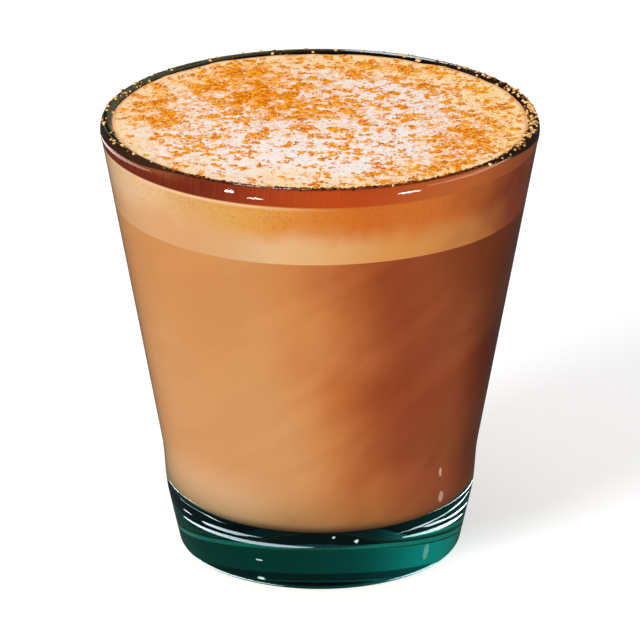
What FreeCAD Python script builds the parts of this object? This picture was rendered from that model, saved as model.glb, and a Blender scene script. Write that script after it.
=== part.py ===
import FreeCAD, Part
import math
import os

import Sketcher

# A cortado in a round tumbler: a tapered glass with a thick base and a rounded lip,
# the coffee and milk inside it, and the milk foam on top, filled nearly to the brim.
# Millimetres. +Z is up, and the origin is the centre of the face the glass rests on.

SIZES = {
    # the glass
    "glass_height": 87.0,
    "rim_diameter": 84.0,  # across the widest ring of the lip
    "rim_thickness": 2.35,
    "bead_round": 4.0,  # radius of the lip's outer side
    "bead_drop": 2.0,  # from the crest down to the widest ring
    "crease_drop": 3.6,  # from the crest down to where the straight wall ends
    "crease_round": 1.6,  # where the wall turns out into the lip
    "foot_diameter": 54.6,
    "foot_round": 1.8,
    "rest_ring": 5.8,  # width of the flat ring, its rounding included
    "punt_depth": 0.6,  # the shallow hollow inside that ring
    "floor_thickness": 10.0,
    "shoulder_rise": 2.6,  # from the inner floor up to the base's widest ring
    "base_flare": 2.75,  # what the radius gains from the foot to the shoulder
    "shoulder_round": 30.0,
    "waist_height": 7.9,  # from the shoulder up to where the straight wall starts
    "waist_flare": 0.55,
    "waist_round": 40.0,
    "floor_wall": 3.35,  # the wall beside the inner floor's corner
    "floor_round": 16.0,
    # what fills it
    "foam_headroom": 1.1,  # from the crest down to the foam's edge
    "foam_depth": 14.8,  # the foam layer beside the wall
    "foam_dome": 0.4,  # how much the foam rises towards its middle
    "blank_overlap": 2.0,  # how deep the uncut filling reaches into the floor
}

START, END, CENTRE = 1, 2, 3
ACROSS, UP = "DistanceX", "DistanceY"
FULL_TURN = 360.0
NEAR = 1e-3
PARTS_FOLDER = "parts"


def length(base=None, **shares):
    """A length as shares of the named sizes, such as half of one less all of another."""
    total = dict(base or {})
    for alias, share in shares.items():
        total[alias] = total.get(alias, 0) + share
    return total


def number(of_length):
    return sum(share * SIZES[alias] for alias, share in of_length.items())


def formula(of_length):
    """The same length as a formula on the spreadsheet's cells."""
    return " + ".join(f"{share} * sizes.{alias}" for alias, share in of_length.items())


AXIS = length()
GROUND = length()
TOP = length(glass_height=1)
RIM_RADIUS = length(rim_diameter=0.5)
LIP_INNER_RADIUS = length(RIM_RADIUS, rim_thickness=-1)
BEAD_CENTRE = (length(RIM_RADIUS, bead_round=-1), length(TOP, bead_drop=-1))
CREASE_HEIGHT = length(TOP, crease_drop=-1)
FOOT = (length(foot_diameter=0.5), GROUND)
PUNT_RIM = (length(FOOT[0], rest_ring=-1), GROUND)
PUNT_TOP = (AXIS, length(punt_depth=1))
SHOULDER = (length(FOOT[0], base_flare=1), length(floor_thickness=1, shoulder_rise=1))
NECK = (length(SHOULDER[0], waist_flare=1), length(SHOULDER[1], waist_height=1))
FLOOR_CORNER = (length(SHOULDER[0], floor_wall=-1), length(floor_thickness=1))
FOAM_EDGE_HEIGHT = length(TOP, foam_headroom=-1)
FOAM_TOP = (AXIS, length(FOAM_EDGE_HEIGHT, foam_dome=1))
FOAM_FLOOR_HEIGHT = length(FOAM_EDGE_HEIGHT, foam_depth=-1)
# The uncut filling runs up the middle of the wall, and the glass is then cut from it.
BLANK_EDGE = (length(RIM_RADIUS, rim_thickness=-0.5), FOAM_EDGE_HEIGHT)
BLANK_CORNER = (
    length(FLOOR_CORNER[0], floor_wall=0.5),
    length(floor_thickness=1, blank_overlap=-1),
)


def spot(point):
    """A point's radius and height as numbers."""
    return number(point[0]), number(point[1])


def fill_sheet(doc):
    """The spreadsheet that drives the model, one aliased cell for each size."""
    sheet = doc.addObject("Spreadsheet::Sheet", "sizes")
    for row, (alias, value) in enumerate(SIZES.items(), start=1):
        sheet.set(f"A{row}", alias)
        sheet.set(f"B{row}", str(value))
        sheet.setAlias(f"B{row}", alias)
    doc.recompute()


def profile_sketch(body):
    """A sketch on the body's XZ plane: x is the radius and y the height."""
    sketch = body.newObject("Sketcher::SketchObject", f"{body.Name}_profile")
    plane = next(f for f in body.Origin.OriginFeatures if f.Role == "XZ_Plane")
    sketch.AttachmentSupport = (plane, [""])
    sketch.MapMode = "FlatFace"
    return sketch


def segment(sketch, start, end, construction=False):
    line = Part.LineSegment(FreeCAD.Vector(*start, 0), FreeCAD.Vector(*end, 0))
    return sketch.addGeometry(line, construction)


def arc(sketch, centre, radius, start_angle, end_angle):
    circle = Part.Circle(FreeCAD.Vector(*centre, 0), FreeCAD.Vector(0, 0, 1), radius)
    return sketch.addGeometry(Part.ArcOfCircle(circle, start_angle, end_angle), False)


def bearing(origin, target):
    return math.atan2(target[1] - origin[1], target[0] - origin[0])


def arc_across_axis(sketch, edge, middle):
    """The half of a shallow bow that runs from its edge to its middle on the axis."""
    rise = middle[1] - edge[1]
    bend = (edge[0] ** 2 + rise**2) / (2 * rise)
    quarter = math.pi / 2
    return arc(
        sketch,
        (0, middle[1] - bend),
        bend,
        quarter - math.asin(edge[0] / bend),
        quarter,
    )


def rounding(before, corner, after, radius):
    """An arc that rounds a corner: its centre, and where it meets the two sides."""
    middle = FreeCAD.Vector(*corner, 0)
    back = (FreeCAD.Vector(*before, 0) - middle).normalize()
    ahead = (FreeCAD.Vector(*after, 0) - middle).normalize()
    half = back.getAngle(ahead) / 2
    reach = radius / math.tan(half)
    centre = middle + (back + ahead).normalize() * (radius / math.sin(half))
    first, last = middle + back * reach, middle + ahead * reach
    return {
        "centre": (centre.x, centre.y),
        "first": (first.x, first.y),
        "last": (last.x, last.y),
        "turns_left": ahead.cross(back).z > 0,
    }


def draw_rounding(sketch, plan, before, after, corner, alias):
    """Draws that arc between two lines whose own corner stays a fixed point."""
    ends = [bearing(plan["centre"], plan[end]) for end in ("first", "last")]
    meets = [START, END]
    if not plan["turns_left"]:
        ends.reverse()
        meets.reverse()
    start_angle, end_angle = (angle % (2 * math.pi) for angle in ends)
    if end_angle < start_angle:
        end_angle += 2 * math.pi
    bow = arc(sketch, plan["centre"], SIZES[alias], start_angle, end_angle)
    join(sketch, before, END, bow, meets[0], "Tangent")
    join(sketch, bow, meets[1], after, START, "Tangent")
    bind(sketch, "Radius", (bow,), length(**{alias: 1}))
    point = sketch.addGeometry(Part.Point(FreeCAD.Vector(*spot(corner), 0)), True)
    place(sketch, point, START, corner)
    for side in (before, after):
        sketch.addConstraint(Sketcher.Constraint("PointOnObject", point, START, side))


def join(sketch, first, first_end, second, second_end, kind="Coincident"):
    sketch.addConstraint(Sketcher.Constraint(kind, first, first_end, second, second_end))


def bind(sketch, kind, geometry, of_length):
    """Adds a dimension and drives it from the spreadsheet."""
    row = sketch.addConstraint(Sketcher.Constraint(kind, *geometry, number(of_length)))
    sketch.setExpression(f"Constraints[{row}]", formula(of_length))


def place(sketch, item, end, point):
    """Fixes one end of an item at a point's radius and height."""
    on_axis, on_ground = -2, -1
    for kind, of_length, line in ((ACROSS, point[0], on_axis), (UP, point[1], on_ground)):
        if of_length:
            bind(sketch, kind, (item, end), of_length)
        else:
            sketch.addConstraint(Sketcher.Constraint("PointOnObject", item, end, line))


def revolve(doc, body, sketch):
    turned = body.newObject("PartDesign::Revolution", f"{body.Name}_turned")
    turned.Profile = sketch
    turned.ReferenceAxis = (sketch, ["V_Axis"])
    turned.Angle = FULL_TURN
    doc.recompute()
    return turned


def ring_edges(shape, radius, height):
    """Names of the full circles of that radius at that height."""
    names = []
    for row, edge in enumerate(shape.Edges, start=1):
        if edge.Degenerated or not edge.isClosed():
            continue
        if isinstance(edge.Curve, Part.Circle):
            off = abs(edge.Curve.Radius - radius) + abs(edge.Curve.Center.z - height)
            if off < NEAR:
                names.append(f"Edge{row}")
    return names


def round_ring(doc, body, base, alias, ring):
    """Fillets the circle at ring = (radius, height), by the size of that name."""
    names = ring_edges(base.Shape, *ring)
    if len(names) != 1:
        raise ValueError(f"{alias}: {len(names)} edges at {ring}")
    fillet = body.newObject("PartDesign::Fillet", f"{body.Name}_{alias}")
    fillet.Base = (base, names)
    fillet.Radius = SIZES[alias]
    fillet.setExpression("Radius", formula(length(**{alias: 1})))
    doc.recompute()
    return fillet


def crest_radius():
    """About the radius of the lip's crest, which touches the top, the inner side and
    the outer bulge. The sketch solves for the exact one."""
    bulge, thick, drop = (SIZES[a] for a in ("bead_round", "rim_thickness", "bead_drop"))
    half = 2 * bulge - thick - drop
    return -half + math.sqrt(half**2 - thick**2 + 2 * thick * bulge - drop**2)


def crease():
    """About where the hollow arc under the lip has its centre, and the wall's lean."""
    bulge, hollow = SIZES["bead_round"], SIZES["crease_round"]
    bulge_centre, neck = spot(BEAD_CENTRE), spot(NECK)
    lean = math.atan2(number(RIM_RADIUS) - neck[0], number(CREASE_HEIGHT) - neck[1])
    height = number(CREASE_HEIGHT) - hollow * math.sin(lean)
    out = math.sqrt((bulge + hollow) ** 2 - (bulge_centre[1] - height) ** 2)
    return (bulge_centre[0] + out, height), lean


def draw_underside(sketch):
    """The shallow punt and the flat ring that the glass rests on."""
    punt = arc_across_axis(sketch, spot(PUNT_RIM), spot(PUNT_TOP))
    ring = segment(sketch, spot(PUNT_RIM), spot(FOOT))
    sketch.addConstraint(Sketcher.Constraint("PointOnObject", punt, CENTRE, -2))
    place(sketch, punt, END, PUNT_TOP)
    place(sketch, punt, START, PUNT_RIM)
    join(sketch, punt, START, ring, START)
    place(sketch, ring, END, FOOT)
    return punt, ring


def draw_outside(sketch, ring):
    """The base's side, the waist above its shoulder, and the straight wall."""
    centre, lean = crease()
    wall_top = (centre[0] - SIZES["crease_round"] * math.cos(lean), number(CREASE_HEIGHT))
    foot, shoulder, neck = spot(FOOT), spot(SHOULDER), spot(NECK)
    shoulder_arc = rounding(foot, shoulder, neck, SIZES["shoulder_round"])
    waist_arc = rounding(shoulder, neck, wall_top, SIZES["waist_round"])
    base_side = segment(sketch, foot, shoulder_arc["first"])
    waist = segment(sketch, shoulder_arc["last"], waist_arc["first"])
    wall = segment(sketch, waist_arc["last"], wall_top)
    join(sketch, ring, END, base_side, START)
    draw_rounding(sketch, shoulder_arc, base_side, waist, SHOULDER, "shoulder_round")
    draw_rounding(sketch, waist_arc, waist, wall, NECK, "waist_round")
    bind(sketch, UP, (wall, END), CREASE_HEIGHT)
    return wall


def draw_lip(sketch, wall):
    """The lip: a hollow turn, a gentle outer bulge, and a tight round crest."""
    crest = crest_radius()
    hollow_centre, lean = crease()
    bulge_centre = spot(BEAD_CENTRE)
    crest_centre = (number(LIP_INNER_RADIUS) + crest, number(TOP) - crest)
    low = bearing(bulge_centre, hollow_centre)
    high = bearing(bulge_centre, crest_centre)
    hollow = arc(
        sketch, hollow_centre, SIZES["crease_round"], math.pi + low, math.pi - lean
    )
    side = arc(sketch, bulge_centre, SIZES["bead_round"], low, high)
    crown = arc(sketch, crest_centre, crest, high, math.pi)
    join(sketch, wall, END, hollow, END, "Tangent")
    join(sketch, hollow, START, side, START, "Tangent")
    join(sketch, side, END, crown, START, "Tangent")
    bind(sketch, "Radius", (hollow,), length(crease_round=1))
    bind(sketch, "Radius", (side,), length(bead_round=1))
    place(sketch, side, CENTRE, BEAD_CENTRE)
    bind(sketch, ACROSS, (crown, END), LIP_INNER_RADIUS)
    plumb = segment(sketch, crest_centre, (crest_centre[0], number(TOP)), construction=True)
    join(sketch, plumb, START, crown, CENTRE)
    sketch.addConstraint(Sketcher.Constraint("Vertical", plumb))
    sketch.addConstraint(Sketcher.Constraint("PointOnObject", plumb, END, crown))
    bind(sketch, UP, (plumb, END), TOP)
    return crown


def draw_inside(sketch, crown, punt):
    """The inner wall and the inner floor, closed along the axis."""
    corner = spot(FLOOR_CORNER)
    lip = (number(LIP_INNER_RADIUS), number(TOP) - crest_radius())
    inner_wall = segment(sketch, lip, corner)
    floor = segment(sketch, corner, (0, corner[1]))
    axis = segment(sketch, (0, corner[1]), spot(PUNT_TOP))
    join(sketch, crown, END, inner_wall, START, "Tangent")
    join(sketch, inner_wall, END, floor, START)
    join(sketch, floor, END, axis, START)
    join(sketch, axis, END, punt, END)
    place(sketch, inner_wall, END, FLOOR_CORNER)
    sketch.addConstraint(Sketcher.Constraint("Horizontal", floor))
    sketch.addConstraint(Sketcher.Constraint("Vertical", axis))


def make_glass(doc):
    body = doc.addObject("PartDesign::Body", "glass")
    sketch = profile_sketch(body)
    punt, ring = draw_underside(sketch)
    wall = draw_outside(sketch, ring)
    crown = draw_lip(sketch, wall)
    draw_inside(sketch, crown, punt)
    shaped = revolve(doc, body, sketch)
    rings = {
        "foot_round": spot(FOOT),
        "floor_round": spot(FLOOR_CORNER),
    }
    for alias, ring_at in rings.items():
        shaped = round_ring(doc, body, shaped, alias, ring_at)
    return body


def make_filling(doc, glass):
    """All that is in the glass, as one piece: a blank that the glass is cut from."""
    body = doc.addObject("PartDesign::Body", "filling_blank")
    sketch = profile_sketch(body)
    edge, corner, top = spot(BLANK_EDGE), spot(BLANK_CORNER), spot(FOAM_TOP)
    dome = arc_across_axis(sketch, edge, top)
    side = segment(sketch, edge, corner)
    underside = segment(sketch, corner, (0, corner[1]))
    axis = segment(sketch, (0, corner[1]), top)
    sketch.addConstraint(Sketcher.Constraint("PointOnObject", dome, CENTRE, -2))
    place(sketch, dome, START, BLANK_EDGE)
    place(sketch, dome, END, FOAM_TOP)
    join(sketch, dome, START, side, START)
    place(sketch, side, END, BLANK_CORNER)
    join(sketch, side, END, underside, START)
    sketch.addConstraint(Sketcher.Constraint("Horizontal", underside))
    sketch.addConstraint(Sketcher.Constraint("Vertical", axis))
    join(sketch, underside, END, axis, START)
    join(sketch, axis, END, dome, END)
    revolve(doc, body, sketch)
    filling = doc.addObject("Part::Cut", "filling")
    filling.Base, filling.Tool = body, glass
    return filling


def make_layers(doc, filling):
    """The filling parted at the level where the foam floats on the coffee."""
    lower = doc.addObject("Part::Cylinder", "below_foam")
    lower.setExpression("Radius", formula(length(rim_diameter=1)))
    lower.setExpression("Height", formula(FOAM_FLOOR_HEIGHT))
    coffee = doc.addObject("Part::Common", "coffee")
    coffee.Base, coffee.Tool = filling, lower
    foam = doc.addObject("Part::Cut", "milk_foam")
    foam.Base, foam.Tool = filling, lower
    return coffee, foam


def check(doc, parts):
    """Stops on a failed object, an open sketch, or a part that isn't one solid."""
    for item in doc.Objects:
        if {"Invalid", "Error"} & set(item.State):
            raise RuntimeError(f"{item.Label} failed: {item.State}")
        if item.isDerivedFrom("Sketcher::SketchObject") and not item.FullyConstrained:
            raise RuntimeError(f"{item.Label} isn't fully constrained")
    for part in parts:
        shape = part.Shape
        if shape.isNull() or not shape.isValid() or len(shape.Solids) != 1:
            raise RuntimeError(f"{part.Label} isn't one valid solid")


def main():
    doc = FreeCAD.newDocument("cortado")
    fill_sheet(doc)
    glass = make_glass(doc)
    filling = make_filling(doc, glass)
    parts = [glass, *make_layers(doc, filling)]
    doc.recompute()
    check(doc, parts)
    os.makedirs(PARTS_FOLDER, exist_ok=True)
    for part in parts:
        part.Shape.exportStep(os.path.join(PARTS_FOLDER, f"{part.Label}.step"))
        print(f"{part.Label}: {part.Shape.Volume / 1000:.2f} ml, {part.Shape.BoundBox}")


main()
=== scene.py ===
"""A cortado in its tumbler: the looks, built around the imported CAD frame. Metres, +Z up.

The camera stands at -Y. "Azimuth" here is measured about +Z from -Y, so 0 is the front,
and it grows towards +X, the camera's right.
"""

import math

import bpy
import numpy as np
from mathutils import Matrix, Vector, noise


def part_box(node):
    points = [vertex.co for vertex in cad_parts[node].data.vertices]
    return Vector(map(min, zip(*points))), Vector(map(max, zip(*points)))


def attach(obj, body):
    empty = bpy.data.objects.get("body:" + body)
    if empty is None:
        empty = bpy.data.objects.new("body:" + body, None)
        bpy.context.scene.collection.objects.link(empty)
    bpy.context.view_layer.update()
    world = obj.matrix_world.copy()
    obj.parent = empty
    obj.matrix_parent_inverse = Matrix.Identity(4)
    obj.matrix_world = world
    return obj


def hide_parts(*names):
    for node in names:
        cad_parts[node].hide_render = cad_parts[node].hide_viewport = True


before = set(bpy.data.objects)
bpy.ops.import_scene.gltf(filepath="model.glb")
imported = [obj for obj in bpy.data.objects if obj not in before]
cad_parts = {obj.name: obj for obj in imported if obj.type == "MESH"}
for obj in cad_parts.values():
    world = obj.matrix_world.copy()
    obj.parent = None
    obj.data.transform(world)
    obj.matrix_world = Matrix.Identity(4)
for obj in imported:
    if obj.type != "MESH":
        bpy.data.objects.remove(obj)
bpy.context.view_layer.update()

MM = 0.001
SEED = 20

# ---------------------------------------------------------------- sizes, in millimetres

glass_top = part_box("glass")[1] / MM
coffee_low, coffee_top = (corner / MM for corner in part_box("coffee"))
foam_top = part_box("milk_foam")[1] / MM

RIM_RADIUS = glass_top.x
HEIGHT = glass_top.z
FLOOR = coffee_low.z
INTERFACE = coffee_top.z  # where the foam floats on the coffee
FOAM_EDGE = HEIGHT - 1.1
FOAM_DOME = foam_top.z - FOAM_EDGE

# the glass's outer side, from the foot up
FOOT_RADIUS = 27.3
FOOT_ROUND = 1.8
PUNT_RADIUS = 21.5  # the hollow in the underside
PUNT_DEPTH = 0.6
SHOULDER = (30.05, 12.6, 30.0)  # radius, height and rounding, as for the waist
WAIST = (30.6, 20.5, 40.0)
CREASE_TILT = math.radians(-19.6)  # where the hollow under the lip runs into the bulge
CREASE_GAP = 0.134
CREASE_ROUND = 1.6
BEAD_ROUND = 4.0  # the lip's outer bulge
BEAD_DROP = 2.0
CREST_ROUND = 1.113  # the lip's top
CREST_MEET = math.radians(18.5)
CREST_END = math.radians(170.3)

# its inner side, and the drink
LIP_INNER = RIM_RADIUS - 2.35
CREST_CENTRE = LIP_INNER + CREST_ROUND - 0.016
INNER_CORNER = (26.70, FLOOR)
INNER_ROUND = 16.0
SOAK = 0.25  # how far the drink reaches into the wall, so that no air gap shows
CLIMB = 0.45  # how far the foam clings up the lip

AROUND = 240  # segments in a full turn
FOAM_AROUND = 320
FOAM_RINGS = 110
SHARP = math.radians(32)  # edges that turn by more than this stay sharp
CARD_LIFT = 0.6  # how high the studio's small cards lie above the floor

CLUMPS = 1420  # of cinnamon on the foam
STRAYS = 1500  # crumbs that lie apart from the clumps
LIP_GRAINS = 240
FRONT_GRAINS = 260  # dark ones along the lip's front


# ---------------------------------------------------------------- outlines


def arc(centre, radius, start, end, steps):
    """Points along an arc in (radius, height)."""
    return [
        (centre[0] + radius * math.cos(t), centre[1] + radius * math.sin(t))
        for t in np.linspace(start, end, steps)
    ]


def rounded(corners, step=math.radians(5)):
    """An outline through corners given as (radius, height, rounding)."""
    points = []
    for k, (r, z, bend) in enumerate(corners):
        if not bend:
            points.append((r, z))
            continue
        here = Vector((r, z))
        back = (Vector(corners[k - 1][:2]) - here).normalized()
        ahead = (Vector(corners[k + 1][:2]) - here).normalized()
        half = back.angle(ahead) / 2
        centre = here + (back + ahead).normalized() * bend / math.sin(half)
        start = here + back * bend / math.tan(half) - centre
        turn = -start.angle_signed(here + ahead * bend / math.tan(half) - centre)
        first = math.atan2(start.y, start.x)
        steps = max(3, int(abs(turn) / step) + 2)
        points += arc(centre, bend, first, first + turn, steps)
    return points


def refined(points, longest):
    """The same outline with its long straight runs divided."""
    fine = [points[0]]
    for (r0, z0), (r1, z1) in zip(points, points[1:]):
        parts = max(1, math.ceil(math.hypot(r1 - r0, z1 - z0) / longest))
        for k in range(1, parts + 1):
            fine.append((r0 + (r1 - r0) * k / parts, z0 + (z1 - z0) * k / parts))
    return fine


def inner_radius(z):
    """The radius of the inner wall at that height."""
    low, high = INNER_CORNER[1], HEIGHT - CREST_ROUND
    return INNER_CORNER[0] + (LIP_INNER - INNER_CORNER[0]) * (z - low) / (high - low)


def glass_outline():
    """Half the glass's section, from the middle of its underside to the inner floor."""
    bead = (RIM_RADIUS - BEAD_ROUND, HEIGHT - BEAD_DROP)
    crest = (CREST_CENTRE, HEIGHT - CREST_ROUND)
    lip = arc(bead, BEAD_ROUND, CREASE_TILT, CREST_MEET, 12)
    lip += arc(crest, CREST_ROUND, CREST_MEET, CREST_END, 30)[1:]
    along = Vector((-math.sin(CREASE_TILT), math.cos(CREASE_TILT)))
    below = Vector(lip[0]) - along * CREASE_GAP
    punt = [(PUNT_RADIUS * t, PUNT_DEPTH * (1 - t**2)) for t in np.linspace(0, 1, 12)]
    side = rounded(
        [
            (*punt[-1], 0),
            (FOOT_RADIUS, 0, FOOT_ROUND),
            SHOULDER,
            WAIST,
            (*below, CREASE_ROUND),
            (*lip[0], 0),
        ],
        step=math.radians(1.2),
    )
    inside = rounded([(*lip[-1], 0), (*INNER_CORNER, INNER_ROUND), (0, FLOOR, 0)])
    return refined(punt + side[1:] + lip[1:] + inside[1:], 1.2)


GLASS_OUTLINE = glass_outline()


# ---------------------------------------------------------------- mesh building


def new_mesh(name, points_mm, faces, smooth=True):
    mesh = bpy.data.meshes.new(name)
    mesh.from_pydata((np.asarray(points_mm) * MM).tolist(), [], faces)
    mesh.validate()
    if smooth:
        mesh.shade_smooth()
        mesh.set_sharp_from_angle(angle=SHARP)
    piece = bpy.data.objects.new(name, mesh)
    bpy.context.collection.objects.link(piece)
    return piece


def turn(name, outline, around=AROUND, shape=None):
    """Turns an outline that starts and ends on the axis into a closed skin.
    shape(radius, height, azimuth) may move a point's height."""
    angles = np.linspace(0, 2 * math.pi, around, endpoint=False)
    points = []
    for r, z in outline[1:-1]:
        lift = shape(r, z, angles) if shape else np.full(around, z)
        points.append(np.stack([r * np.sin(angles), -r * np.cos(angles), lift], 1))
    rings = len(points)
    poles = [[0, 0, outline[0][1]], [0, 0, outline[-1][1]]]
    points = np.concatenate([*points, poles])
    column = np.arange(around)
    beside = (column + 1) % around
    faces = []
    for ring in range(rings - 1):
        low, high = ring * around, (ring + 1) * around
        faces += np.stack(
            [low + column, low + beside, high + beside, high + column], 1
        ).tolist()
    first, last = rings * around, rings * around + 1
    top = (rings - 1) * around
    faces += [[first, b, a] for a, b in zip(column.tolist(), beside.tolist())]
    faces += [[top + a, top + b, last] for a, b in zip(column.tolist(), beside.tolist())]
    return new_mesh(name, points, faces)


# ---------------------------------------------------------------- the drink


def interface_shape(r, z, azimuth):
    """Coffee and foam meet at a face that isn't quite level."""
    ripple = 0.10 * np.sin(2 * azimuth + 0.7) + 0.05 * np.sin(5 * azimuth)
    near = math.exp(-abs(z - INTERFACE) / 1.5) * r / inner_radius(INTERFACE)
    return z + near * ripple


def make_coffee():
    """The coffee, a little into the wall and the floor of the glass."""
    corner = (INNER_CORNER[0] + SOAK, FLOOR - SOAK, INNER_ROUND + SOAK)
    rim = inner_radius(INTERFACE) + SOAK
    outline = rounded([(0, FLOOR - SOAK, 0), corner, (rim, INTERFACE, 0)])
    outline = refined(outline + [(0, INTERFACE)], 1.5)
    return turn("coffee_with_milk", outline, shape=interface_shape)


def foam_height(x, y):
    """The foam's top: a slight dome with soft swells that die out at the wall."""
    share = min(1.0, math.hypot(x, y) / inner_radius(FOAM_EDGE))
    swell = noise.fractal(Vector((x, y, 5)) / 9, 0.7, 2, 4)
    dimple = noise.fractal(Vector((x, y, 9)) / 2.2, 0.7, 2, 3)
    relief = (0.11 * swell + 0.035 * dimple) * (1 - share**4)
    climb = CLIMB * share**6 * (1 + 0.5 * swell)
    return FOAM_EDGE + FOAM_DOME * (1 - share**2) + relief + climb


def make_foam():
    """The foam, with what the cinnamon and the milk do on its top stored by point."""
    edge = inner_radius(FOAM_EDGE)
    wall = refined(
        [
            (0, INTERFACE),
            (inner_radius(INTERFACE) + SOAK, INTERFACE),
            (edge + SOAK, FOAM_EDGE),
        ],
        1.0,
    )
    above = HEIGHT  # stands for the top, whose real height shape() gives
    top = [(r, above) for r in np.linspace(edge, 0, FOAM_RINGS)]

    def shape(r, z, azimuth):
        if z < above:
            return interface_shape(r, z, azimuth)
        spots = zip(r * np.sin(azimuth), -r * np.cos(azimuth))
        return np.array([foam_height(x, y) for x, y in spots])

    outline = wall + top
    outline[-1] = (0, foam_height(0, 0))
    piece = turn("milk_foam_layer", outline, around=FOAM_AROUND, shape=shape)
    points = [v.co / MM for v in piece.data.vertices]
    for name, field in (("dust", dusting), ("sifted", sifted), ("milk", milkiness)):
        layer = piece.data.attributes.new(name, "FLOAT", "POINT")
        layer.data.foreach_set("value", [field(p.x, p.y) for p in points])
    return piece


# ---------------------------------------------------------------- the cinnamon

# Where more or less of it fell: middle x and y, spread along x and y, and how much.
DRIFTS = (
    (-14, 23, 6, 8, 0.50),
    (-11, 10, 6, 7, 0.56),
    (2, 6, 6, 7, 0.22),
    (-30, 6, 5, 9, 0.30),
    (28, -4, 5, 7, 0.30),
    (26, -18, 5, 8, 0.32),
    (17, -31, 6, 4, 0.30),
    (12, 30, 8, 4, 0.30),
    (-4, -27, 11, 7, -0.22),
    (17, -14, 5, 5, -0.12),
)


def dusting(x, y):
    """How much of the foam the cinnamon covers there, 0 to 1, before it clumps."""
    cover = 0.335
    for middle_x, middle_y, wide, deep, amount in DRIFTS:
        away = ((x - middle_x) / wide) ** 2 + ((y - middle_y) / deep) ** 2
        cover += amount * math.exp(-away / 2)
    near_wall = math.hypot(x, y) / inner_radius(FOAM_EDGE)
    return max(0.03, min(1.0, cover)) * (1 - 0.6 * max(0.0, near_wall - 0.9) / 0.1)


def milkiness(x, y):
    """1 in the white patch at the middle, 0 in the tan ring round it."""
    away = math.hypot((x - 1) / 33, (y + 3) / 33)
    away += 0.26 * noise.fractal(Vector((x, y, 2)) / 13, 0.8, 2, 4)
    return max(0.0, min(1.0, (1.12 - away) / 0.34))


def clumps(x, y):
    """Uneven sifting, which leaves short streaks and bare spots."""
    drift = noise.fractal(Vector((x, y, 1)) / 3.2, 0.6, 2, 4)
    return max(0.0, min(1.0, 0.5 + 1.5 * drift))


def sifted(x, y):
    """How likely a clump of cinnamon is there, 0 to 1."""
    return dusting(x, y) * clumps(x, y)


def icosahedron():
    """Its 12 points, at a distance of 1 from the middle, and its 20 faces."""
    t = (1 + 5**0.5) / 2
    points = []
    for a in (-1, 1):
        for b in (-t, t):
            points += [(0, a, b), (a, b, 0), (b, 0, a)]
    points = np.array(points) / math.hypot(1, t)
    faces = []
    for i in range(12):
        for j in range(i + 1, 12):
            for k in range(j + 1, 12):
                sides = [points[i] - points[j], points[j] - points[k], points[k] - points[i]]
                if max(np.linalg.norm(side) for side in sides) > 1.06:
                    continue
                out = np.dot(np.cross(points[j] - points[i], points[k] - points[i]), points[i])
                faces.append((i, j, k) if out > 0 else (i, k, j))
    return points, np.array(faces)


def crumbs(name, spots, sizes, flatness, rng, tilt):
    """One mesh of many crumbs: an uneven stone at every spot (x, y, z), with its
    length from sizes, its thickness from flatness, as shares of the length, and a lean
    that spreads by tilt."""
    shape, faces = icosahedron()
    count = len(spots)
    spots = np.asarray(spots, dtype=float)
    jag = rng.uniform(0.62, 1.12, (count, 12, 1))
    stones = shape[None] * jag
    half = rng.uniform(*sizes, count) / 2
    wide = half * rng.uniform(0.5, 0.95, count)
    thick = half * rng.uniform(*flatness, count)
    stones *= np.stack([half, wide, thick], 1)[:, None, :]
    lean = rng.normal(0, tilt, count)[:, None]
    y = stones[:, :, 1] * np.cos(lean) - stones[:, :, 2] * np.sin(lean)
    z = stones[:, :, 1] * np.sin(lean) + stones[:, :, 2] * np.cos(lean)
    yaw = rng.uniform(0, 2 * math.pi, count)[:, None]
    x = stones[:, :, 0] * np.cos(yaw) - y * np.sin(yaw)
    y = stones[:, :, 0] * np.sin(yaw) + y * np.cos(yaw)
    points = np.stack([x, y, z], 2) + spots[:, None, :]
    every = faces[None] + 12 * np.arange(count)[:, None, None]
    return new_mesh(name, points.reshape(-1, 3), every.reshape(-1, 3).tolist(), smooth=False)


def sift(count, rng, chance, reach):
    """Draws count places on the foam, each kept by its chance."""
    spots = []
    while len(spots) < count:
        x, y, luck = rng.uniform(-1, 1, 3)
        x, y, luck = x * reach, y * reach, (luck + 1) / 2
        if math.hypot(x, y) < reach and luck < chance(x, y):
            spots.append((x, y))
    return spots


def on_foam(spots, lift):
    """The same places with a height, that far above the foam."""
    return [(x, y, foam_height(x, y) + lift) for x, y in spots]


def make_cinnamon():
    """Flat golden stains, the crumbs that clump on them, and a few dark specks."""
    rng = np.random.default_rng(SEED)
    reach = inner_radius(FOAM_EDGE) - 0.5

    stains, flakes, specks = [], [], []
    for x, y in sift(CLUMPS, rng, sifted, reach):
        for _ in range(rng.integers(1, 4)):
            stains.append(rng.normal((x, y), 0.38))
        for _ in range(rng.integers(1, 7)):
            flakes.append(rng.normal((x, y), 0.42))
        if rng.uniform() < 0.45:
            specks.append(rng.normal((x, y), 0.3))
    flakes += sift(STRAYS, rng, lambda x, y: 0.08 + sifted(x, y), reach)
    return [
        crumbs("cinnamon_stains", on_foam(stains, 0.02), (0.7, 1.7), (0.05, 0.09), rng, 0.03),
        crumbs("cinnamon_flakes", on_foam(flakes, 0.04), (0.25, 0.8), (0.2, 0.45), rng, 0.3),
        crumbs("dark_cinnamon", on_foam(specks, 0.1), (0.16, 0.42), (0.4, 0.7), rng, 0.4),
    ]


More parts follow.
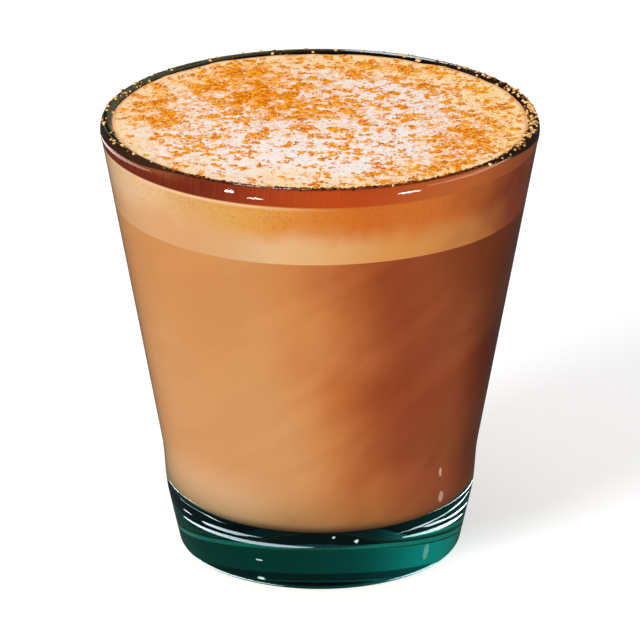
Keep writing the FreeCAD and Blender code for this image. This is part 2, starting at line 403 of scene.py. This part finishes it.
def lip_height(radius):
    """How high the top of the lip is at that radius."""
    away = radius - CREST_CENTRE
    if radius < CREST_CENTRE + CREST_ROUND * math.cos(CREST_MEET):
        return HEIGHT - CREST_ROUND + math.sqrt(max(0.0, CREST_ROUND**2 - away**2))
    across = radius - (RIM_RADIUS - BEAD_ROUND)
    return HEIGHT - BEAD_DROP + math.sqrt(max(0.0, BEAD_ROUND**2 - across**2))


def make_lip_grains():
    """What missed the foam and lies on the lip: much at the right, some at the left
    towards the back, and dark grains along the front."""
    rng = np.random.default_rng(SEED + 1)
    pale, dark = [], []
    while len(pale) < LIP_GRAINS:
        azimuth = rng.uniform(-math.pi, math.pi)
        degrees = math.degrees(azimuth)
        chance = 0.10 + 0.9 * math.exp(-(((degrees - 88) / 36) ** 2))
        chance += 0.3 * math.exp(-(((degrees + 112) / 22) ** 2))
        chance *= 0.12 if abs(degrees) < 48 else 1
        if rng.uniform() > chance:
            continue
        radius = rng.uniform(LIP_INNER + 0.15, RIM_RADIUS - 0.45)
        place = (radius * math.sin(azimuth), -radius * math.cos(azimuth), lip_height(radius))
        (pale if rng.uniform() < 0.66 else dark).append(place)
    for _ in range(FRONT_GRAINS):
        azimuth = rng.normal(math.radians(7), math.radians(27))
        radius = rng.normal(LIP_INNER + CREST_ROUND, 0.22)
        level = max(lip_height(radius), HEIGHT - 0.7)
        dark.append((radius * math.sin(azimuth), -radius * math.cos(azimuth), level))
    return [
        crumbs("lip_grains", pale, (0.45, 1.15), (0.4, 0.75), rng, 0.5),
        crumbs("dark_lip_grains", dark, (0.35, 0.95), (0.45, 0.8), rng, 0.5),
    ]


# ---------------------------------------------------------------- materials


class Graph:
    """A material's node tree, with short ways to add what the materials here use."""

    def __init__(self, name):
        self.material = bpy.data.materials.new(name)
        self.material.use_nodes = True
        self.tree = self.material.node_tree
        self.tree.nodes.clear()

    def add(self, kind, sockets=None, **settings):
        node = self.tree.nodes.new("ShaderNode" + kind)
        for key, value in settings.items():
            setattr(node, key, value)
        for key, value in (sockets or {}).items():
            self.put(node.inputs[key], value)
        return node

    def put(self, socket, value):
        if isinstance(value, bpy.types.NodeSocket):
            self.tree.links.new(value, socket)
        elif isinstance(value, tuple) and len(value) == 3 and socket.type == "RGBA":
            socket.default_value = (*value, 1)
        else:
            socket.default_value = value

    def math(self, operation, *values):
        node = self.add("Math", operation=operation)
        for socket, value in zip(node.inputs, values):
            self.put(socket, value)
        return node.outputs[0]

    def mix(self, factor, first, second, blend="MIX"):
        node = self.add("Mix", data_type="RGBA", blend_type=blend)
        for index, value in ((0, factor), (6, first), (7, second)):
            self.put(node.inputs[index], value)
        return node.outputs[2]

    def span(self, value, low, high, to_low=0.0, to_high=1.0, smooth=True):
        """Maps low..high onto to_low..to_high and clamps."""
        kind = "SMOOTHSTEP" if smooth else "LINEAR"
        node = self.add("MapRange", interpolation_type=kind)
        for socket, number in zip(node.inputs, (value, low, high, to_low, to_high)):
            self.put(socket, number)
        return node.outputs[0]

    def within(self, value, low, high, soft):
        """1 between low and high, fading to 0 over soft to either side of both."""
        rising = self.span(value, low - soft, low + soft)
        falling = self.span(value, high - soft, high + soft, 1, 0)
        return self.math("MULTIPLY", rising, falling)

    def ramp(self, value, low, high, *stops):
        """A smooth run of colours over low..high; each stop is (value, colour)."""
        node = self.add("ValToRGB", {"Fac": self.span(value, low, high, smooth=False)})
        node.color_ramp.interpolation = "B_SPLINE"
        points = node.color_ramp.elements
        while len(points) < len(stops):
            points.new(0.5)
        for point, (at, colour) in zip(points, stops):
            point.position = (at - low) / (high - low)
            point.color = (*colour, 1)
        return node.outputs[0]

    def noise(self, vector, scale, detail=2.0, rough=0.5, distort=0.0):
        node = self.add(
            "TexNoise",
            {
                "Vector": vector,
                "Scale": scale,
                "Detail": detail,
                "Roughness": rough,
                "Distortion": distort,
            },
        )
        return node.outputs[0]

    def place(self):
        """Object-space coordinates in millimetres: vector, x, y, z."""
        coords = self.add("TexCoord").outputs["Object"]
        scaled = self.add("VectorMath", operation="SCALE")
        self.put(scaled.inputs[0], coords)
        self.put(scaled.inputs["Scale"], 1 / MM)
        vector = scaled.outputs[0]
        return vector, *self.add("SeparateXYZ", {"Vector": vector}).outputs

    def radius(self, x, y):
        squares = self.math("MULTIPLY", x, x), self.math("MULTIPLY", y, y)
        return self.math("SQRT", self.math("ADD", *squares))

    def azimuth(self, x, y):
        return self.math("ARCTAN2", x, self.math("MULTIPLY", y, -1.0))

    def finish(self, surface, volume=None):
        output = self.add("OutputMaterial", {"Surface": surface})
        if volume is not None:
            self.put(output.inputs["Volume"], volume)
        return self.material


def wear(piece, material):
    """Gives a piece its one material."""
    piece.data.materials.clear()
    piece.data.materials.append(material)


def glass_material():
    """Clear glass, sea-green in the thick base, with painted shade darkening the base's left
    side, its shoulder, the band under the lip and the lip's crest.
    """
    g = Graph("tumbler_glass")
    x, y, z = g.place()[1:]
    turned = g.math("ABSOLUTE", g.azimuth(x, y))

    # the thick base's sea-green, with painted shade darkening its left side; a painted dark
    # band along its shoulder; the clear wall; and painted grey shade in the band under the lip
    shoulder_shade = g.mix(g.span(x, 10, 27), (0.002, 0.012, 0.018), (0.08, 0.58, 0.62))
    base_tint_and_shade = g.mix(g.span(x, -6, 24), (0.001, 0.14, 0.11), (0.001, 0.38, 0.34))
    base_tint_and_shade = g.mix(g.span(x, -28, -22), (0.01, 0.42, 0.36), base_tint_and_shade)
    tint = g.mix(g.span(z, 13.2, 15.4), shoulder_shade, (0.98, 0.985, 0.98))
    tint = g.mix(g.span(z, 9.6, 10.2), base_tint_and_shade, tint)
    tint = g.mix(g.span(z, HEIGHT - 3.9, HEIGHT - 3.2), tint, (0.80, 0.84, 0.84))

    # painted shade on the lip's crest, standing in for the dark surroundings seen in it: thin
    # in front and deeper down its sides and back, red-brown in front and slate to near black
    # at the sides and back
    begun = g.math("SUBTRACT", turned, g.span(x, 0, 10, 0.0, math.radians(9)))
    bottom = g.span(begun, math.radians(36), math.radians(60), HEIGHT - 0.2, HEIGHT - 1.1)
    flank = g.span(turned, math.radians(60), math.radians(88))
    bottom = g.math("SUBTRACT", bottom, flank)
    crest_shade = g.mix(g.span(x, -10, 20), (0.020, 0.050, 0.060), (0.003, 0.008, 0.009))
    beside = g.span(turned, math.radians(30), math.radians(42))
    crest_shade = g.mix(beside, (0.10, 0.03, 0.012), crest_shade)
    tint = g.mix(g.span(g.math("SUBTRACT", z, bottom), -0.12, 0.12), tint, crest_shade)

    clear = g.add(
        "BsdfPrincipled",
        {
            "Base Color": tint,
            "Roughness": 0.0,
            "IOR": 1.5,
            "Transmission Weight": 1.0,
        },
    )
    lets_light_in = g.add("BsdfTransparent", {"Color": (0.93, 0.96, 0.95)})
    path = g.add("LightPath").outputs
    lighting = g.math("MAXIMUM", path["Is Shadow Ray"], path["Is Diffuse Ray"])
    surface = g.add("MixShader", {0: lighting})
    g.put(surface.inputs[1], clear.outputs[0])
    g.put(surface.inputs[2], lets_light_in.outputs[0])
    volume = g.add("VolumeAbsorption", {"Color": (0.40, 0.88, 0.84), "Density": 20.0})
    return g.finish(surface.outputs[0], volume.outputs[0])


def coffee_material():
    """Milky coffee, light at the left and dark at the right, partly the milk and partly
    painted light and shade, with drawn-out wisps and painted shade along its lowest edge.
    """
    g = Graph("milky_coffee")
    vector, x, y, z = g.place()
    turned = g.math("ABSOLUTE", g.azimuth(x, y))
    drift = g.noise(vector, 0.035, detail=3, distort=0.8)
    across = g.math("ADD", x, g.span(drift, 0.25, 0.75, -2.6, 2.6, smooth=False))
    across = g.math("ADD", across, g.span(z, 18, 40, -3.5, 0.0))
    across = g.math("ADD", across, g.span(z, 56, 72, 0.0, 2.5))
    # light golden at the left to dark red-brown at the right: partly the milk's swirl, partly
    # painted light and shade
    colour = g.ramp(
        across, -40, 40,
        (-34, (0.66, 0.295, 0.123)),
        (-20, (0.56, 0.235, 0.087)),
        (-9, (0.58, 0.262, 0.105)),
        (0, (0.58, 0.20, 0.062)),
        (7, (0.45, 0.115, 0.031)),
        (13, (0.317, 0.061, 0.021)),
        (19, (0.371, 0.080, 0.031)),
        (25, (0.385, 0.092, 0.034)),
        (34, (0.20, 0.042, 0.011)),
    )
    leaning = g.add(
        "VectorRotate", {"Vector": vector, "Angle": math.radians(40)}, rotation_type="Y_AXIS"
    ).outputs[0]
    drawn = g.add("Mapping", {"Vector": leaning, "Scale": (0.022, 0.03, 0.11)}).outputs[0]
    wisps = g.noise(drawn, 1.0, detail=4, distort=0.7)
    wisps = g.mix(g.span(wisps, 0.38, 0.64), (0.86, 0.80, 0.76), (1.12, 1.20, 1.26))
    colour = g.mix(g.span(x, -10, 12, 0.2, 0.6), colour, wisps, "MULTIPLY")
    # painted shade darkening the right-hand edge, less so towards the top
    wall = g.span(z, FLOOR, HEIGHT, INNER_CORNER[0], LIP_INNER, smooth=False)
    edge = g.span(g.math("DIVIDE", x, wall), 0.76, 0.97)
    edge = g.math("MULTIPLY", edge, g.span(z, 44, 74, 1.0, 0.35))
    colour = g.mix(edge, colour, (0.52, 0.42, 0.30), "MULTIPLY")

    # patches, partly the milk's swirls and partly painted light and shade: where along x and
    # z, and how much darker or lighter
    for along_x, along_z, gain in (
        ((0, 40), (36, 47), (0.95, 0.84, 0.78)),
        ((-2, 10), (49, 59), (1.12, 1.23, 1.38)),
        ((9, 19), (10, 25), (1.22, 1.38, 1.38)),
        ((-3, 6), (63, 72), (0.90, 0.82, 0.90)),
        ((21, 29), (22, 33), (0.86, 0.87, 0.72)),
        ((28, 40), (34, 47), (0.96, 0.80, 0.60)),
    ):
        tone_patch = g.math("MULTIPLY", g.within(x, *along_x, 3), g.within(z, *along_z, 4))
        colour = g.mix(tone_patch, colour, gain, "MULTIPLY")

    # an even tone at the back, darker and more orange up to the foam, painted light
    # brightening the lower left, and painted shade along the drink's lowest edge: a brown band
    # in front and a near-black rim
    colour = g.mix(g.span(y, -6, 26, 0, 0.8), colour, (0.54, 0.21, 0.072))
    colour = g.mix(g.span(z, 30, INTERFACE, 0, 0.8), colour, (0.95, 0.83, 0.68), "MULTIPLY")
    # painted light, paler low at the left
    pale = g.math("MULTIPLY", g.span(z, 17, 27, 0.6, 0), g.span(x, -18, -4, 1, 0))
    colour = g.mix(pale, colour, (0.74, 0.42, 0.24))
    # painted shade along the bottom edge, mostly in front
    in_front = g.span(turned, 0.3, 0.9, 1, 0.1)
    bottom_shade = g.math("MULTIPLY", g.span(z, FLOOR + 1.2, FLOOR + 3.5, 0.75, 0), in_front)
    colour = g.mix(bottom_shade, colour, (0.40, 0.15, 0.09))
    colour = g.mix(g.span(z, FLOOR + 0.75, FLOOR + 1.1, 1, 0), colour, (0.03, 0.012, 0.008))
    shader = g.add(
        "BsdfPrincipled",
        {"Base Color": colour, "Roughness": 0.6, "Specular IOR Level": 0.0},
    )
    return g.finish(shader.outputs[0])


def foam_material():
    """Milk foam: tan through the wall and darker to its right as painted shade, painted
    red-brown shade behind the lip with a painted highlight under it, white and dusted with
    cinnamon on top."""
    g = Graph("milk_foam")
    vector, x, y, z = g.place()

    # the side, seen through the wall, darkening to the right edge as painted shade
    wander = g.span(g.noise(vector, 0.08, detail=3), 0.2, 0.8, -2.2, 2.2)
    level = g.math("ADD", z, wander)
    right = g.math("ADD", x, g.span(g.noise(vector, 0.06), 0.2, 0.8, -4, 4))
    lower = g.ramp(
        right, -40, 40,
        (-34, (0.67, 0.32, 0.15)),
        (-23, (0.61, 0.27, 0.108)),
        (-12, (0.63, 0.35, 0.185)),
        (0, (0.72, 0.38, 0.175)),
        (11, (0.69, 0.267, 0.062)),
        (24, (0.84, 0.30, 0.075)),
        (35, (0.27, 0.032, 0.006)),
    )
    upper = g.ramp(
        right, -40, 40,
        (-34, (0.75, 0.43, 0.23)),
        (-23, (0.60, 0.27, 0.076)),
        (-12, (0.66, 0.295, 0.062)),
        (0, (0.61, 0.123, 0.005)),
        (11, (0.61, 0.135, 0.016)),
        (24, (0.80, 0.177, 0.026)),
        (35, (0.20, 0.02, 0.003)),
    )
    side = g.mix(g.span(level, INTERFACE + 2.5, INTERFACE + 9), lower, upper)
    dots = g.add("TexVoronoi", {"Vector": vector, "Scale": 1.9, "Randomness": 1.0})
    speck = g.span(dots.outputs["Distance"], 0.16, 0.26, 1.0, 0.0)
    zone = g.math("MULTIPLY", g.span(level, INTERFACE + 4, INTERFACE + 9), 0.55)
    side = g.mix(g.math("MULTIPLY", speck, zone), side, (0.16, 0.05, 0.02))

    # painted shade on the foam's edge behind the lip, red-brown and darker towards its sides,
    # with painted streaks, and a paler band under it as a painted highlight from the glass's
    # crease
    streak_coords = g.add(
        "CombineXYZ",
        {0: g.math("MULTIPLY", g.azimuth(x, y), 80.0), 1: g.math("MULTIPLY", z, 0.12)},
    )
    streaks = g.noise(streak_coords.outputs[0], 2.2, detail=3)
    lip_shade = g.mix(g.span(x, -24, 4), (0.16, 0.011, 0.001), (0.53, 0.055, 0.004))
    lip_shade = g.mix(g.span(x, 6, 28), lip_shade, (0.68, 0.14, 0.026))
    lip_shade = g.mix(g.span(x, 26, 38), lip_shade, (0.36, 0.075, 0.02))
    lip_shade = g.mix(g.span(streaks, 0.45, 0.75, 0.0, 0.25), lip_shade, (0.50, 0.12, 0.03))
    left_lip_shade = g.math("MULTIPLY", g.span(z, 84.4, 85.4), g.span(x, -32, -22, 0.65, 0.0))
    lip_shade = g.mix(left_lip_shade, lip_shade, (0.34, 0.095, 0.025))
    side = g.mix(g.span(z, 82.9, 83.5), side, lip_shade)
    line = g.math("MULTIPLY", g.span(z, 82.3, 82.7), g.span(z, 82.9, 83.3, 1.0, 0.0))
    line = g.math("MULTIPLY", line, g.span(x, -20, 6, 0.8, 0.0))
    side = g.mix(line, side, (0.80, 0.46, 0.25))

    # the top
    milk = g.add("Attribute", attribute_name="milk").outputs["Fac"]
    dust = g.add("Attribute", attribute_name="dust").outputs["Fac"]
    cream = g.mix(g.span(x, -20, 25), (1.0, 0.71, 0.42), (1.0, 0.72, 0.36))
    top = g.mix(milk, cream, (0.94, 0.85, 0.80))
    drift = g.noise(vector, 0.30, detail=3, rough=0.6)
    sown = g.add("Attribute", attribute_name="sifted").outputs["Fac"]
    haze = g.math("MULTIPLY", g.span(sown, 0.16, 0.6), g.span(drift, 0.3, 0.55))
    top = g.mix(g.math("MULTIPLY", haze, 0.65), top, (1.0, 0.50, 0.055))
    for scale, amount in ((0.75, 0.75), (1.7, 0.8)):
        grit = g.noise(vector, scale, detail=3, rough=0.65)
        cover = g.math("ADD", grit, g.math("MULTIPLY", dust, 0.16))
        mask = g.math("MULTIPLY", g.span(cover, 0.615, 0.665), amount)
        top = g.mix(mask, top, (0.96, 0.35, 0.010))
    top = g.mix(g.span(g.radius(x, y), 38.8, 39.4, 0, 0.7), top, (0.85, 0.38, 0.11))

    normal = g.add("NewGeometry").outputs["Normal"]
    up = g.add("SeparateXYZ", {"Vector": normal}).outputs[2]
    colour = g.mix(g.span(up, 0.4, 0.7), side, top)
    shader = g.add(
        "BsdfPrincipled",
        {"Base Color": colour, "Roughness": 0.65, "Specular IOR Level": 0.1},
    )
    return g.finish(shader.outputs[0])


def crumb_material(name, light, dark, roughness=0.6):
    """Crumbs whose colour varies from one to the next."""
    g = Graph(name)
    vector = g.place()[0]
    each = g.noise(vector, 0.9, detail=1)
    colour = g.mix(g.span(each, 0.32, 0.68), dark, light)
    shader = g.add(
        "BsdfPrincipled",
        {"Base Color": colour, "Roughness": roughness, "Specular IOR Level": 0.0},
    )
    return g.finish(shader.outputs[0])


# ---------------------------------------------------------------- the studio


def look_at(thing, target):
    """Turns a camera or a lamp to a point."""
    aim = Vector(target) - thing.location
    thing.rotation_euler = aim.to_track_quat("-Z", "Y").to_euler()


def from_azimuth(azimuth, elevation, distance):
    """A point seen from the middle at that azimuth and elevation, in degrees."""
    a, e = math.radians(azimuth), math.radians(elevation)
    level = math.cos(e)
    return Vector((math.sin(a) * level, -math.cos(a) * level, math.sin(e))) * distance


def make_camera():
    """Looks at the glass from a little over a metre away, 21 degrees down."""
    camera = bpy.data.cameras.new("camera")
    camera.sensor_width = 36
    camera.lens = 305
    camera.clip_end = 50
    eye = bpy.data.objects.new("camera", camera)
    bpy.context.collection.objects.link(eye)
    target = Vector((0, 0, 45.3 * MM))
    eye.location = target + from_azimuth(0, 21.25, 1.05)
    look_at(eye, target)
    bpy.context.scene.camera = eye


def area_light(name, azimuth, elevation, distance, size, strength):
    """A round lamp that lights but doesn't show in the glass. strength is how bright a
    white surface facing it would be."""
    lamp = bpy.data.lights.new(name, "AREA")
    lamp.shape = "DISK"
    lamp.size = size
    lamp.energy = strength * (math.pi * distance) ** 2
    holder = bpy.data.objects.new(name, lamp)
    bpy.context.collection.objects.link(holder)
    holder.location = from_azimuth(azimuth, elevation, distance)
    look_at(holder, (0, 0, HEIGHT / 2 * MM))
    holder.visible_camera = False
    holder.visible_transmission = False
    holder.visible_glossy = False


def stage_piece(name, points, faces, material, gloss=True, through=True):
    """Studio kit that only shows mirrored in the glass or through it."""
    piece = new_mesh(name, points, faces)
    wear(piece, material)
    piece.visible_camera = False
    piece.visible_diffuse = False
    piece.visible_shadow = False
    piece.visible_glossy = gloss
    piece.visible_transmission = through


def glow_material(name, colour, strength=1.0):
    g = Graph(name)
    glow = g.add("Emission", {"Color": colour, "Strength": strength})
    return g.finish(glow.outputs[0])


def make_floor():
    """A pale floor that takes the soft shadow, lifted to nearly white for the camera."""
    g = Graph("pale_floor")
    plain = g.add("BsdfDiffuse", {"Color": (0.92, 0.92, 0.92)})
    lift = g.add("Emission", {"Color": (1, 1, 1), "Strength": 0.27})
    seen = g.add("LightPath").outputs["Is Camera Ray"]
    both = g.add("AddShader")
    g.put(both.inputs[0], plain.outputs[0])
    g.put(both.inputs[1], lift.outputs[0])
    surface = g.add("MixShader", {0: seen})
    g.put(surface.inputs[1], plain.outputs[0])
    g.put(surface.inputs[2], both.outputs[0])
    g.finish(surface.outputs[0])
    size = 4000
    corners = [(-size, -size, 0), (size, -size, 0), (size, size, 0), (-size, size, 0)]
    floor = new_mesh("floor", corners, [[0, 1, 2, 3]])
    wear(floor, g.material)


def ring_wall(radius, low, high, start, end, steps):
    """A curved wall between two azimuths, in degrees."""
    points, faces = [], []
    for k in range(steps + 1):
        a = math.radians(start + (end - start) * k / steps)
        x, y = radius * math.sin(a), -radius * math.cos(a)
        points += [(x, y, low), (x, y, high)]
        if k:
            faces.append([2 * k - 2, 2 * k, 2 * k + 1, 2 * k - 1])
    return points, faces


def make_flags():
    """Big cards round the glass, as a photographer sets them. The dark ones draw its
    edges, and the graded one behind it only shows through the glass."""
    dim = glow_material("dark_card", (0.045, 0.055, 0.055))
    far, ceiling, steps = 900, 1500, 48
    around = ring_wall(far, 1, ceiling, 0, 360, steps)
    stage_piece("dark_surround", *around, dim, through=False)
    lid = [(far * math.sin(a), far * math.cos(a), ceiling) for a in np.linspace(0, 6.2, 40)]
    stage_piece("dark_ceiling", lid, [list(range(len(lid)))], dim, through=False)
    mat = []
    for k in range(steps):
        a = math.radians(k * 360 / steps)
        mat += [(r * math.sin(a), r * math.cos(a), 0.3) for r in (26.5, far)]
    n = len(mat)
    faces = [[2 * k, 2 * k + 1, (2 * k + 3) % n, (2 * k + 2) % n] for k in range(steps)]
    stage_piece("dark_mat", mat, faces, dim)

    g = Graph("graded_card")
    x, y = g.place()[1:3]
    turned = g.math("ADD", g.azimuth(x, y), 2 * math.pi)
    turned = g.math("MODULO", turned, 2 * math.pi)
    low_side = g.span(turned, math.radians(186), math.radians(222), 0.28, 1.0)
    glow = g.add("Emission", {"Color": (1, 1, 1), "Strength": low_side})
    g.finish(glow.outputs[0])
    stage_piece("graded_card", *ring_wall(850, 2, 1000, 100, 225, 36), g.material, gloss=False)


def wall_spot(azimuth, height):
    """A point on the glass's outer side and the way its surface faces there."""
    radii, heights = zip(*GLASS_OUTLINE)
    top = heights.index(max(heights))
    step = 0.1
    low, high = (
        np.interp(height + up, heights[:top], radii[:top]) for up in (-step, step)
    )
    a = math.radians(azimuth)
    out = Vector((math.sin(a), -math.cos(a), 0))
    point = out * (low + high) / 2 + Vector((0, 0, height))
    return point, (out * 2 * step - Vector((0, 0, high - low))).normalized()


def crest_spot(azimuth, tilt):
    """A point on top of the lip. tilt is 0 where it faces out and 90 where it faces up."""
    a, t = math.radians(azimuth), math.radians(tilt)
    out = Vector((math.sin(a), -math.cos(a), 0))
    facing = out * math.cos(t) + Vector((0, 0, math.sin(t)))
    middle = out * CREST_CENTRE + Vector((0, 0, HEIGHT - CREST_ROUND))
    return middle + facing * CREST_ROUND, facing


def mirrored(spot, away=None):
    """Where a card must be for the glass to mirror it to the camera at that spot: that
    far away, or else down on the floor."""
    point, facing = spot
    eye = bpy.context.scene.camera.location / MM
    ray = (point - eye).normalized().reflect(facing)
    if away is None:
        away = (CARD_LIFT - point.z) / ray.z
    return point + ray * away


def streak_card(name, find, start, stop, thick, material, away=None):
    """A card that the glass mirrors as a streak from start to stop, each an azimuth and
    a height or tilt, thick in its middle and tapering to both ends."""
    steps = 28
    points = []
    for k in range(steps + 1):
        share = k / steps
        azimuth, level = (a + (b - a) * share for a, b in zip(start, stop))
        half = thick / 2 * (0.08 + math.sin(math.pi * share) ** 0.7)
        points += [mirrored(find(azimuth, level + side * half), away) for side in (-1, 1)]
    faces = [[2 * k, 2 * k + 1, 2 * k + 3, 2 * k + 2] for k in range(steps)]
    stage_piece(name, points, faces, material, through=False)


def glint_card(name, azimuth, height, half_turn, half_height, material, away=None):
    """A card that the glass mirrors as an oval highlight."""
    points = []
    for t in np.linspace(0, 2 * math.pi, 24, endpoint=False):
        spot = wall_spot(azimuth + half_turn * math.cos(t), height + half_height * math.sin(t))
        points.append(mirrored(spot, away))
    stage_piece(name, points, [list(range(24))], material, through=False)


def make_highlights():
    """The highlights on the lip and along the shoulder of the thick base: ovals as
    azimuth, height and their halves, streaks as start, stop and thickness."""
    white = glow_material("bright_card", (1, 1, 1), 26.0)
    for name, azimuth, height, half_turn, half_height in (
        ("lip_key", -23.5, 85.7, 1.4, 0.32),
        ("lip_low", -16.5, 84.95, 2.2, 0.13),
        ("lip_right", 23.0, 85.6, 3.4, 0.15),
    ):
        glint_card(name, azimuth, height, half_turn, half_height, white, away=60)
    glass_white = glow_material("base_card", (0.85, 1.0, 1.0), 16.0)
    for name, azimuth, height, half_turn, half_height in (
        ("base_dash", -24.0, 6.1, 1.6, 0.16),
        ("base_glint", -24.0, 1.9, 1.6, 0.30),
        ("bubble_left", 5.0, 12.4, 0.6, 0.2),
        ("bubble_right", 13.5, 11.3, 0.9, 0.35),
    ):
        glint_card(name, azimuth, height, half_turn, half_height, glass_white)

    cool = glow_material("streak_card", (0.74, 0.93, 1.0), 11.0)
    for name, start, stop, thick in (
        ("left_low", (-64, 9.5), (-2, 10.3), 0.75),
        ("left_high", (-50, 11.1), (-22, 11.4), 0.6),
        ("left_thread", (-64, 13.5), (-36, 12.7), 0.12),
        ("left_dash", (-63, 11.4), (-56, 11.4), 0.3),
        ("left_rim", (-82, 14.6), (-44, 14.4), 0.12),
        ("right_low", (32, 10.4), (72, 8.4), 0.8),
        ("right_middle", (40, 11.3), (76, 10.0), 0.5),
        ("right_high", (28, 11.4), (76, 12.6), 0.3),
        ("right_rim", (44, 14.0), (82, 13.6), 0.3),
        ("foot_left", (-64, 0.9), (-14, 0.8), 0.2),
        ("foot_right", (28, 0.9), (56, 0.9), 0.2),
    ):
        streak_card("streak_" + name, wall_spot, start, stop, thick, cool)

    warm = glow_material("warm_card", (1.0, 0.86, 0.77), 3.0)
    streak_card("lip_streak_left", wall_spot, (-84, 85.0), (-48, 85.75), 0.6, warm, away=150)
    streak_card("lip_streak_right", wall_spot, (28, 86.2), (60, 86.45), 0.35, warm, away=150)
    streak_card("back_streak", crest_spot, (174, 110), (142, 110), 24, cool, away=250)
    glint_card("wall_patch", 50, 16.4, 1.2, 1.2, warm)
    faint = glow_material("faint_card", (0.80, 1.0, 0.95), 1.5)
    glint_card("base_patch", 46, 5.0, 1.5, 1.8, faint)


def make_world():
    """White all round: full where the camera or the glass sees it, and less as light."""
    world = bpy.data.worlds.new("studio")
    world.use_nodes = True
    tree = world.node_tree
    tree.nodes.clear()
    path = tree.nodes.new("ShaderNodeLightPath")
    by_glass = tree.nodes.new("ShaderNodeMath")
    by_glass.operation = "MAXIMUM"
    tree.links.new(path.outputs["Is Glossy Ray"], by_glass.inputs[0])
    tree.links.new(path.outputs["Is Transmission Ray"], by_glass.inputs[1])
    seen = tree.nodes.new("ShaderNodeMath")
    seen.operation = "MAXIMUM"
    tree.links.new(path.outputs["Is Camera Ray"], seen.inputs[0])
    tree.links.new(by_glass.outputs[0], seen.inputs[1])
    strength = tree.nodes.new("ShaderNodeMapRange")
    strength.inputs["To Min"].default_value = 0.48
    strength.inputs["To Max"].default_value = 1.0
    tree.links.new(seen.outputs[0], strength.inputs["Value"])
    background = tree.nodes.new("ShaderNodeBackground")
    background.inputs["Color"].default_value = (1, 1, 1, 1)
    tree.links.new(strength.outputs[0], background.inputs["Strength"])
    output = tree.nodes.new("ShaderNodeOutputWorld")
    tree.links.new(background.outputs[0], output.inputs["Surface"])
    bpy.context.scene.world = world


# ---------------------------------------------------------------- putting it together

bpy.context.scene.view_settings.view_transform = "Standard"
make_camera()
make_world()
make_floor()
make_flags()
make_highlights()
area_light("key", -44, 27, 1.2, 0.5, 0.78)
area_light("fill", 48, 15, 1.2, 0.5, 0.20)
area_light("top", 10, 75, 1.2, 0.5, 0.06)
area_light("back", 165, 24, 1.2, 0.6, 0.24)

tumbler = turn("tumbler", GLASS_OUTLINE)
wear(tumbler, glass_material())
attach(tumbler, "root")
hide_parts("glass")

coffee = make_coffee()
wear(coffee, coffee_material())
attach(coffee, "root")
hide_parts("coffee")

foam = make_foam()
wear(foam, foam_material())
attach(foam, "root")
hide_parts("milk_foam")

yellow = crumb_material("golden_dust", (0.96, 0.44, 0.022), (0.86, 0.29, 0.007), 0.8)
orange = crumb_material("cinnamon", (0.92, 0.30, 0.009), (0.58, 0.12, 0.002))
speckle = crumb_material("ground_cinnamon", (0.40, 0.08, 0.006), (0.16, 0.030, 0.004))
brown = crumb_material("toasted_cinnamon", (0.28, 0.07, 0.016), (0.04, 0.012, 0.006))
gold = crumb_material("golden_grains", (0.95, 0.62, 0.28), (0.62, 0.30, 0.08), 0.4)
crumb_looks = (yellow, orange, speckle, gold, brown)
for crumb_piece, crumb_look in zip(make_cinnamon() + make_lip_grains(), crumb_looks):
    wear(crumb_piece, crumb_look)
    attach(crumb_piece, "root")
